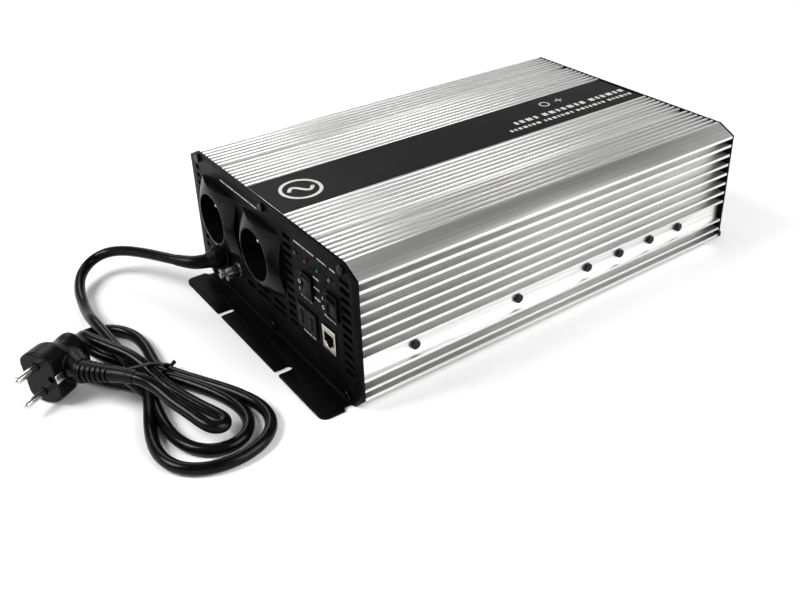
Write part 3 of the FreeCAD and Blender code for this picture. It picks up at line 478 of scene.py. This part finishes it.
# The three wide folds, in millimetres: the tip's distance, half the loop's width with the sign of its first
# side, the bow of its middle line, (y, z) at the tie on the way out and on the way back, and the pinch.
FOLDS = (
    (110.5, -32.5, 10, (-283, 11.2), (-262, 4.1), 1.3),
    (-79, 19, -17, (-262, 4.1), (-287, 4.1), 0.8),
    (97, -20, 18.5, (-287, 4.1), (-270.4, 4.1), 1.1),
)
FOLD_POINTS = 14
# The share of a fold's reach that grows evenly, the powers of its bow and of its way down to the floor, and
# how much a pinch widens the rest of the loop.
EVEN_REACH = 0.3
BOW_POWER = 0.7
DOWN_POWER = 0.6
PINCH_WIDENS = 0.31
CORD_ORDER = 3
CORD_STEPS = 8
CORD_ROUNDNESS = 6


def fold(reach, half, bow, start, finish, pinch):
    """One fold of the bundle, out from the tie, round a tip and back. The arguments are those of FOLDS."""
    points = []
    for step in range(FOLD_POINTS + 1):
        share = step / FOLD_POINTS
        angle = 2 * math.pi * share
        lift = math.sin(angle / 2)
        across = start[0] + (finish[0] - start[0]) * share
        height = start[1] + (finish[1] - start[1]) * share
        swing = half * math.sin(angle) * lift ** pinch * (1 + PINCH_WIDENS * pinch)
        x = reach * lift * (EVEN_REACH + (1 - EVEN_REACH) * lift)
        y = across + bow * lift ** BOW_POWER + swing
        z = height + (FLOOR_Z - height) * lift ** DOWN_POWER
        points.append((x, y, z))
    return points


def cord_route():
    """The whole lead, gland to plug: wide folds to the right, left and right, then the two short ones."""
    route = list(CORD_START) + fold(*FOLDS[0])
    for shape in FOLDS[1:]:
        route += fold(*shape)[1:]
    return route + list(CORD_OVER) + list(CORD_FINISH)


def cord_curve():
    """The lead as one round cord along its route, in place of the CAD's free stretch and bundle."""
    curve = bpy.data.curves.new("mains_lead", "CURVE")
    curve.dimensions = "3D"
    route = cord_route()
    spline = curve.splines.new("NURBS")
    spline.points.add(len(route) - 1)
    for point, place in zip(spline.points, route):
        point.co = (*(value * MM for value in place), 1)
    spline.order_u = CORD_ORDER
    spline.use_endpoint_u = True
    spline.resolution_u = CORD_STEPS
    curve.bevel_depth = CORD_RADIUS
    curve.bevel_resolution = CORD_ROUNDNESS
    curve.use_fill_caps = True
    piece = linked("mains_lead", curve)
    curve.materials.append(SHEATH)
    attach(piece, HOUSING)
    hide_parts("cord_tube", "cord_bundle")
    return piece


def centreline(piece):
    """The points that the cord's own spline follows."""
    bare = bpy.data.objects.new("bare", piece.data.copy())
    bare.data.bevel_depth = 0
    mesh = bpy.data.meshes.new_from_object(bare)
    line = [vertex.co.copy() for vertex in mesh.vertices]
    bpy.data.objects.remove(bare)
    bpy.data.meshes.remove(mesh)
    return line


def hull(points):
    """The convex outline of points in a plane."""
    points = sorted(points)

    def half(run):
        chain = []
        for point in run:
            while len(chain) > 1 and turn(chain[-2], chain[-1], point) <= 0:
                chain.pop()
            chain.append(point)
        return chain[:-1]

    def turn(a, b, c):
        return (b[0] - a[0]) * (c[1] - a[1]) - (b[1] - a[1]) * (c[0] - a[0])

    return half(points) + half(points[::-1])


# The twist tie's middle, the way the strands run through it, and how far from its middle a strand can be.
TIE_CENTRE = Vector((8, -276, 0)) * MM
TIE_TURN = math.radians(35)
TIE_ALONG = Vector((math.cos(TIE_TURN), math.sin(TIE_TURN), 0))
TIE_ACROSS = Vector((-math.sin(TIE_TURN), math.cos(TIE_TURN), 0))
TIE_SPAN = 30 * MM
TIE_HALF_WIDTH = 1.9 * MM
TIE_THICK = 0.7 * MM
TIE_GAP = 0.1 * MM
TIE_LOWEST = TIE_THICK / 2 + 0.05 * MM
STRAND_CORNERS = 24
# The strip's section: half widths along the strands, and thicknesses outward.
TIE_SECTION = ((-1, 0.35), (-0.75, 0.5), (0, 0.8), (0.75, 0.5), (1, 0.35), (1, -0.5), (-1, -0.5))
# Its two twisted ends: which way they lean, across and along, and their measures in millimetres.
TWIST_LEAN = (0.75, 0.5)
TWIST_LENGTH = 4.5
TWIST_RISE = 1
TWIST_ARCH = 1.5
TWIST_RADIUS = 0.9
TWIST_HALF_TURNS = 3
TWIST_STEPS = 24
END_RADIUS = 0.8
END_CORNERS = 6


def tie_outline(line):
    """The outline round the strands that pass the tie's plane, as (across, height) points."""
    ring = []
    reach = CORD_RADIUS + TIE_THICK / 2 + TIE_GAP
    for first, second in zip(line, line[1:]):
        before, after = (first - TIE_CENTRE).dot(TIE_ALONG), (second - TIE_CENTRE).dot(TIE_ALONG)
        if before * after > 0 or before == after:
            continue
        place = first.lerp(second, before / (before - after)) - TIE_CENTRE
        side = place.dot(TIE_ACROSS)
        if abs(side) > TIE_SPAN:
            continue
        for angle in circle(STRAND_CORNERS):
            height = max(place.z + reach * math.sin(angle), TIE_LOWEST)
            ring.append((side + reach * math.cos(angle), height))
    return hull(ring)


def twisted_end(shape, root, start):
    """One of the tie's two ends, which wind round each other from root. start is its first angle."""
    ahead = TIE_ACROSS * TWIST_LEAN[0] + TIE_ALONG * TWIST_LEAN[1]
    aside = TIE_ALONG * TWIST_LEAN[0] - TIE_ACROSS * TWIST_LEAN[1]
    rows = []
    for step in range(TWIST_STEPS + 1):
        share = step / TWIST_STEPS
        turn = start + share * TWIST_HALF_TURNS * math.pi
        centre = root + ahead * (TWIST_LENGTH * MM * share)
        centre += UP * ((TWIST_RISE + TWIST_ARCH * math.sin(share * 2)) * MM * share)
        centre += (aside * math.cos(turn) + UP * math.sin(turn)) * TWIST_RADIUS * MM
        row = []
        for angle in circle(END_CORNERS):
            outward = TIE_ALONG * math.cos(angle) + UP * math.sin(angle)
            row.append(shape.verts.new(centre + outward * END_RADIUS * MM))
        rows.append(row)
    bridge(shape, rows, closed=False, caps=True)


def tie(line):
    """A flat twist tie, pulled tight round the strands, with its two twisted ends up on the far side."""
    outline = tie_outline(line)
    shape = bmesh.new()
    rings = []
    for index, (side, height) in enumerate(outline):
        previous, following = outline[index - 1], outline[(index + 1) % len(outline)]
        tangent = Vector((following[0] - previous[0], following[1] - previous[1])).normalized()
        middle = TIE_CENTRE + TIE_ACROSS * side + UP * height
        outward = TIE_ACROSS * tangent.y - UP * tangent.x
        row = []
        for slide, rise in TIE_SECTION:
            place = middle + TIE_ALONG * slide * TIE_HALF_WIDTH + outward * rise * TIE_THICK
            row.append(shape.verts.new(place))
        rings.append(row)
    bridge(shape, rings, closed=True)
    side, height = max(outline)
    for start in (0, math.pi):
        twisted_end(shape, TIE_CENTRE + TIE_ACROSS * side + UP * height, start)
    piece = made("twist_tie", shape, MATTE)
    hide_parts("cord_tie")
    return piece


# ---------------------------------------------------------------- plug

PLUG_PLACE = (
    Matrix.Translation(Vector((-22.4, -339.1, 19.9)) * MM)
    @ Matrix.Rotation(math.radians(32.8), 4, "Z")
    @ Matrix.Rotation(math.radians(-8.8), 4, "Y")
    @ Matrix.Rotation(math.radians(-1.8), 4, "X")
)

# The plug's measures are in millimetres in its own axes: x along the arm to the sleeve, y behind the face
# and z along the line of the pins.
SLEEVE_START = 25.4
SLEEVE_FINISH = 51.4
SLEEVE_DEPTH = 13
SLEEVE_RADIUS = 7.8
SLEEVE_TAPER = 2.4
SLEEVE_RIBS = 6.5
SLEEVE_ROWS = 78
SLEEVE_CORNERS = 32
SLEEVE_SMOOTH = 40
# Grooves lie between these shares of the sleeve's length, where the ribs' wave is below the edge. They stop
# at two ridges, where the cosine round the sleeve is small.
GROOVES_FROM = 0.06
GROOVES_TO = 0.9
GROOVE_EDGE = -0.1
GROOVE_DEPTH = 1.1
GROOVE_STEEPNESS = 2
RIDGE_COSINE = 0.35

PLUG_FLAT = 13.6
PLUG_CORNERS = 48
PLUG_SMOOTH = 40
# Depth behind the face, half width along the pins' line, half width across it.
PLUG_OUTLINE = (
    (0, 18.7, 18.7),
    (0.8, 19.5, 19.5),
    (6, 19.5, 19.5),
    (14, 19.5, 19.3),
    (15.5, 19, 17.4),
    (21, 15.4, 14.2),
    (25, 14.6, 13.6),
    (29, 15.4, 13.4),
    (32.5, 15.8, 13),
    (34.5, 15, 12),
    (35.5, 12, 9),
)
# Distance along the arm, depth of its middle behind the face, half its depth, half its width.
PLUG_ARM = (
    (0, 22, 11.5, 12),
    (6, 21.5, 11.5, 12),
    (12, 19.5, 11, 11.2),
    (18, 16.5, 10, 10),
    (23, 14, 8.9, 9),
    (26, 13, 8.3, 8.3),
)
WELD_SIZE = 0.75
SOFTEN_FACTOR = 0.5
SOFTEN_TIMES = 6
# Seats for the two pins and the earth hole: x, z, radius and depth.
PLUG_SEATS = ((0, 9.5, 3.1, 0.8), (0, -9.5, 3.1, 0.8), (9.2, 0, 2.5, 9))
SEAT_CORNERS = 28
SEAT_OVERRUN = 2
# The notches for the side clips: how far their middles are outside the flats and behind the face, and size.
NOTCH_OUT = 0.3
NOTCH_BACK = 4
NOTCH_SIZE = (3, 14, 7)


def plug_sleeve():
    """Ribbed strain relief: rings joined by two ridges, tapering to the cord."""
    sections = []
    for row in range(SLEEVE_ROWS + 1):
        share = row / SLEEVE_ROWS
        along = SLEEVE_START + (SLEEVE_FINISH - SLEEVE_START) * share
        full = SLEEVE_RADIUS - SLEEVE_TAPER * share
        wave = math.sin(share * SLEEVE_RIBS * 2 * math.pi)
        grooved = GROOVES_FROM < share < GROOVES_TO and wave < GROOVE_EDGE
        section = []
        for angle in circle(SLEEVE_CORNERS):
            radius = full
            if grooved and abs(math.cos(angle)) > RIDGE_COSINE:
                radius -= GROOVE_DEPTH * min(1, -wave * GROOVE_STEEPNESS)
            section.append((along, SLEEVE_DEPTH + radius * math.cos(angle), radius * math.sin(angle)))
        sections.append(section)
    shape = skin(sections, PLUG_PLACE)
    piece = made("plug_sleeve_fine", shape, PLUG_BLACK, SLEEVE_SMOOTH)
    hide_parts("plug_sleeve")
    return piece


def collar(name, line, reach, radii, slot_name):
    """A tapered sleeve round a line's first stretch, reach long, with its first and last radius."""
    shape = bmesh.new()
    rings = []
    travelled = 0.0
    for first, second in zip(line, line[1:]):
        if travelled > reach:
            break
        ahead = (second - first).normalized()
        side = ahead.cross(UP).normalized()
        rise = side.cross(ahead)
        radius = radii[0] + (radii[1] - radii[0]) * travelled / reach
        ring = []
        for angle in circle(STRAND_CORNERS):
            ring.append(shape.verts.new(first + (side * math.cos(angle) + rise * math.sin(angle)) * radius))
        rings.append(ring)
        travelled += (second - first).length
    bridge(shape, rings, closed=False, caps=True)
    return made(name, shape, PLUG_BLACK)


def plug_blank():
    """The plug's body, and the arm that leaves its back and comes forward to the sleeve, in one mesh."""
    sections = []
    for depth, tall, wide in PLUG_OUTLINE:
        section = []
        for angle in circle(PLUG_CORNERS):
            across = max(-PLUG_FLAT, min(PLUG_FLAT, wide * math.cos(angle)))
            section.append((across, depth, tall * math.sin(angle)))
        sections.append(section)
    shape = skin(sections)
    sections = []
    for along, depth, deep, tall in PLUG_ARM:
        section = []
        for angle in circle(PLUG_CORNERS):
            section.append((along, depth + deep * math.cos(angle), tall * math.sin(angle)))
        sections.append(section)
    arm = mesh_of("arm", skin(sections))
    shape.from_mesh(arm)
    bpy.data.meshes.remove(arm)
    return mesh_of("plug_body_fine", shape)


def plug_cutters():
    """The shapes of the pins' seats, the earth hole and the notches for the side clips."""
    cutters = bmesh.new()
    upright = Matrix.Rotation(math.pi / 2, 4, "X")
    for x, z, radius, deep in PLUG_SEATS:
        middle = Vector((x, (deep - SEAT_OVERRUN) / 2, z)) * MM
        bmesh.ops.create_cone(
            cutters, cap_ends=True, segments=SEAT_CORNERS, radius1=radius * MM, radius2=radius * MM,
            depth=(deep + SEAT_OVERRUN) * MM, matrix=Matrix.Translation(middle) @ upright,
        )
    size = Matrix.Diagonal((*(value * MM for value in NOTCH_SIZE), 1))
    for side in (-1, 1):
        middle = Vector((side * (PLUG_FLAT + NOTCH_OUT), NOTCH_BACK, 0)) * MM
        bmesh.ops.create_cube(cutters, size=1, matrix=Matrix.Translation(middle) @ size)
    return mesh_of("seats", cutters)


def plug_body():
    """Moulded angled plug: a face with flat sides, a waist for the fingers, a ridge and an arm."""
    piece = linked("plug_body_fine", plug_blank())
    weld = piece.modifiers.new("weld", "REMESH")
    weld.mode = "VOXEL"
    weld.voxel_size = WELD_SIZE * MM
    soften = piece.modifiers.new("soften", "SMOOTH")
    soften.factor = SOFTEN_FACTOR
    soften.iterations = SOFTEN_TIMES
    seats = linked("seats", plug_cutters())
    carve = piece.modifiers.new("carve", "BOOLEAN")
    carve.operation = "DIFFERENCE"
    carve.object = seats
    carve.solver = "EXACT"
    bpy.context.view_layer.update()
    settle(piece, PLUG_SMOOTH)
    bpy.data.objects.remove(seats)
    piece.data.transform(PLUG_PLACE)
    piece.data.materials.clear()
    piece.data.materials.append(PLUG_BLACK)
    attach(piece, HOUSING)
    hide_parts("plug_body")
    return piece


# ---------------------------------------------------------------- printed marks

INK_PROUD = 0.12 * MM
INK_SUNK = 0.1 * MM
FRONT_FACE = 178 * MM
LABEL_TOP = 109.6 * MM

# Blocks in the place of letters, in heights: their widths in turn, the gaps after a block and after a word,
# and the narrowest that is drawn. A word ends at one block of every WORD_BLOCKS.
BLOCK_WIDTHS = (0.9, 0.6, 1.1, 0.75, 0.55, 1.0)
BLOCK_GAP = 0.55
WORD_GAP = 1.2
NARROWEST = 0.2
WORD_BLOCKS = 7
WORD_END = 5

# Marks in millimetres. A row of blocks is its start, finish, level and height, a ring its middle, radius and
# stroke, and a bar its two ends.
CAPTIONS = (
    (-67.5, -7.7, 100, 1.2),
    (43.3, 58.6, 98, 1.2),
    (60, 70, 98, 1.2),
    (73.5, 84.7, 98, 1.2),
    (89, 95.8, 98, 1.2),
    (66.5, 73.5, 81.3, 1.2),
    (66.5, 73.5, 73.3, 1.2),
    (66.5, 73.5, 65.2, 1.5),
    (47.5, 62, 58.4, 1.3),
    (78, 93, 58, 1.3),
    (47, 62.5, 29, 1.3),
    (-91, -77, 45.5, 1.2),
)
LEFT_OFF = (46, 68, 1.3, 0.5)
LEFT_ON = ((46, 60.6), (46, 63.4))
RIGHT_ON = ((76.7, 68.4), (76.7, 71.2))
RIGHT_OFF = (76.7, 62.7, 1.3, 0.5)
ON_STROKE = 0.6

LABEL_ROWS = ((-172, -35, 15, 3.6), (-172, -47, 5, 5.2))
LABEL_RING = (-96, -12, 4.2, 1.2)
LABEL_CROSS = (((-112, -15.5), (-112, -8.5)), ((-116, -12), (-108, -12)))
CROSS_STROKE = 1.1
WAVE_RING = (147, 0.5, 14.5, 2.6)
WAVE_RING_CORNERS = 56
WAVE_START = (137.5, 0.5)
WAVE_LENGTH = 19
WAVE_HEIGHT = 4.6
WAVE_STROKE = 2.8
WAVE_STEPS = 24


def on_front(u, v, lift):
    """A point of the front panel's face: u to the right and v up, in millimetres."""
    return Vector((u * MM, -FRONT_FACE - lift, v * MM))


def on_label(u, v, lift):
    """A point of the top label: u runs from the rear to the front and v to the right, in millimetres."""
    return Vector((v * MM, -u * MM, LABEL_TOP + lift))


def printed(name, place, strokes):
    """One piece of ink from strokes, each its points, its width and whether it closes, in millimetres."""
    shape = bmesh.new()
    for points, width, closed in strokes:
        count = len(points)
        rings = []
        for index, (u, v) in enumerate(points):
            before = points[index - 1] if closed or index else (u, v)
            after = points[(index + 1) % count] if closed or index < count - 1 else (u, v)
            along = Vector((after[0] - before[0], after[1] - before[1])).normalized() * width / 2
            left, right = (u - along.y, v + along.x), (u + along.y, v - along.x)
            rings.append([
                shape.verts.new(place(*left, -INK_SUNK)), shape.verts.new(place(*left, INK_PROUD)),
                shape.verts.new(place(*right, INK_PROUD)), shape.verts.new(place(*right, -INK_SUNK)),
            ])
        bridge(shape, rings, closed=closed, caps=not closed)
    return made(name, shape, INK)


def block_run(start, finish, level, height):
    """Short blocks of uneven width in a row, in place of words."""
    strokes = []
    place = start
    count = 0
    while place < finish:
        width = min(BLOCK_WIDTHS[count % len(BLOCK_WIDTHS)] * height, finish - place)
        if width > NARROWEST * height:
            strokes.append((((place, level), (place + width, level)), height, False))
        gap = WORD_GAP if count % WORD_BLOCKS == WORD_END else BLOCK_GAP
        place += width + gap * height
        count += 1
    return strokes


def ring_of(u, v, radius, width, corners=28):
    """A stroke round a circle."""
    points = [(u + radius * math.cos(angle), v + radius * math.sin(angle)) for angle in circle(corners)]
    return (tuple(points), width, True)


def front_legends():
    """Captions by the sockets, lamps, switches, ports and gland, and the switches' off rings and on bars."""
    strokes = []
    for caption in CAPTIONS:
        strokes += block_run(*caption)
    strokes.append(ring_of(*LEFT_OFF))
    strokes.append((LEFT_ON, ON_STROKE, False))
    strokes.append((RIGHT_ON, ON_STROKE, False))
    strokes.append(ring_of(*RIGHT_OFF))
    return printed("front_legends", on_front, strokes)


def label_marks():
    """A wave in a ring, the sign for alternating current, and rows of blocks, a ring and a cross."""
    wave = []
    for step in range(WAVE_STEPS + 1):
        share = step / WAVE_STEPS
        rise = WAVE_HEIGHT * math.sin(2 * math.pi * share)
        wave.append((WAVE_START[0] + WAVE_LENGTH * share, WAVE_START[1] + rise))
    strokes = [ring_of(*WAVE_RING, WAVE_RING_CORNERS), (tuple(wave), WAVE_STROKE, False)]
    for row in LABEL_ROWS:
        strokes += block_run(*row)
    strokes.append(ring_of(*LABEL_RING))
    for bar in LABEL_CROSS:
        strokes.append((bar, CROSS_STROKE, False))
    return printed("label_marks", on_label, strokes)


# ---------------------------------------------------------------- the whole

# The tapered sleeves at the lead's ends: length, and first and last radius.
GLAND_COLLAR = (26 * MM, (5.7 * MM, 4.4 * MM))
PLUG_COLLAR = (16 * MM, (5.6 * MM, 4.5 * MM))
JACK_SHELL_DEPTH = 0.9 * MM

# Nodes that ride on the housing, their materials and their bevels in millimetres.
SMALL_PIECES = (
    ("usb_module", MATTE, 0.3),
    ("usb_shells", PORT, 0.1),
    ("usb_tongues", MATTE, 0.1),
    ("cord_gland", MATTE, 0.4),
    ("cord_gland_nut", MATTE, 0.5),
    ("earth_washer", STEEL, 0.2),
    ("earth_nut", STEEL, 0.3),
    ("earth_wing_nut", STEEL, 0.4),
    ("earth_stud", STEEL, 0.3),
    ("positive_terminal_base", RED, 0.6),
    ("negative_terminal_base", GLOSS, 0.6),
    ("positive_terminal_stud", NICKEL, 0.4),
    ("negative_terminal_stud", NICKEL, 0.4),
    ("positive_terminal_nut", NICKEL, 0.4),
    ("negative_terminal_nut", NICKEL, 0.4),
    ("left_side_screws", SCREW_BLACK, 0.5),
    ("right_side_screws", SCREW_BLACK, 0.5),
    ("front_panel_screws", SCREW_BLACK, 0.5),
    ("rear_panel_screws", SCREW_BLACK, 0.5),
)
# Nodes that keep the CAD's shape, and their materials.
PLAIN_PIECES = (
    ("top_label", FILM),
    ("base_plate", COATED),
    ("ac_socket_sleeves", NICKEL),
    ("network_jack_contacts", GOLD),
    ("board_standoffs", BRASS),
    ("power_board", BOARD),
    ("control_board", BOARD),
    ("transformers", CORE),
    ("bulk_capacitors", MATTE),
    ("output_choke", CORE),
    ("status_light_1", lens("green_lens", (0.006, 0.1, 0.035), 0.12)),
    ("status_light_2", lens("red_lens", (0.12, 0.008, 0.007), 0.06)),
    ("status_light_3", lens("green_lens_two", (0.006, 0.1, 0.035), 0.08)),
    ("status_light_4", lens("clear_lens", (0.14, 0.15, 0.14))),
)


def mains_lead():
    """The lead with its tie, its plug and the sleeves at both ends."""
    lead = cord_curve()
    line = centreline(lead)
    band = tie(line)
    sleeve = plug_sleeve()
    body = plug_body()
    gland_collar = collar("cord_strain_relief", line, *GLAND_COLLAR, slots["cord_gland_nut"])
    plug_collar = collar("plug_collar", line[::-1], *PLUG_COLLAR, slots["plug_sleeve"])
    pins = refined("plug_pins", NICKEL, 0.35 * MM)
    clips = refined("plug_earth_clips", NICKEL, 0.2 * MM)


def main():
    """The studio and every piece of the inverter."""
    set_camera()
    set_surround()
    set_lamps()
    set_floor()
    mains_lead()
    for node in ("left_side_extrusion", "right_side_extrusion", "top_cover"):
        refined(node, ALUMINIUM, 0.35 * MM)
    for node in ("front_panel", "rear_panel"):
        refined(node, COATED, 0.25 * MM)
    for side in ("left", "right"):
        refined(f"ac_socket_{side}", GLOSS, 0.5 * MM, segments=3)
        refined(f"ac_socket_{side}_earth_pin", NICKEL, 0.4 * MM)
        refined(f"switch_{side}_frame", GLOSS, 0.4 * MM)
        refined(f"switch_{side}_paddle", MATTE, 0.4 * MM, body=f"switch_{side}", segments=3)
        refined(f"fan_{side}_frame", MATTE, 0.5 * MM)
        refined(f"fan_{side}_rotor", MATTE, 0.3 * MM, body=f"fan_{side}")
        refined(f"fan_{side}_guard", NICKEL, 0.4 * MM)
    for node, material, bevel in SMALL_PIECES:
        refined(node, material, bevel * MM)
    darken_inside(refined("network_jack", SHIELD, 0.25 * MM), JACK_SHELL_DEPTH)
    front_legends()
    label_marks()
    for node, material in PLAIN_PIECES:
        dress(node, material)


main()
